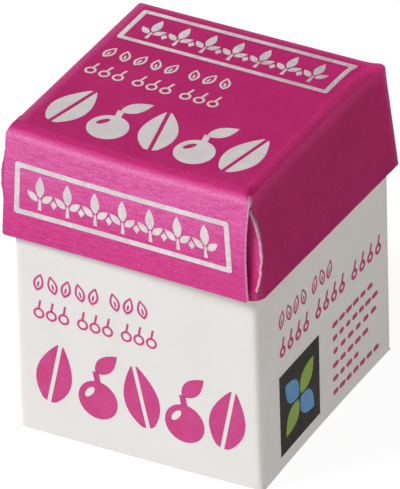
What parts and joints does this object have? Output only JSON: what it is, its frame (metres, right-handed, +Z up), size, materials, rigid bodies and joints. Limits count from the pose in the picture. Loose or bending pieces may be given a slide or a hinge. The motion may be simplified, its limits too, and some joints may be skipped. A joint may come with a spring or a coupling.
{
  "type": "tea carton",
  "caption": "Small shut paperboard tea carton: white rounded-corner base under a loose, flared magenta lift-off lid with half-moon corner locks and foil decoration.",
  "frame": {"origin": "middle of the flat face the carton stands on", "axes": "+Z up from the base to the lid, -Y out of the front, +X to the right as seen from the front"},
  "size_m": [0.0509, 0.0507, 0.0595],
  "materials": {
    "coated_white_board": "smooth clay-coated white board, faint fibre, low sheen",
    "printed_magenta_board": "magenta print under a satin varnish, lighter along the folds",
    "silver_foil": "hot-stamped silver foil, slightly brushed",
    "magenta_ink": "flat magenta ink on white board",
    "white_ink": "unprinted white board showing through the magenta",
    "dark_ink": "near-black ink on white board",
    "blue_ink": "sky blue ink",
    "green_ink": "leaf green ink"
  },
  "bodies": {
    "root": {"base_carton": "coated_white_board", "lid": "printed_magenta_board"}
  },
  "joints": []
}
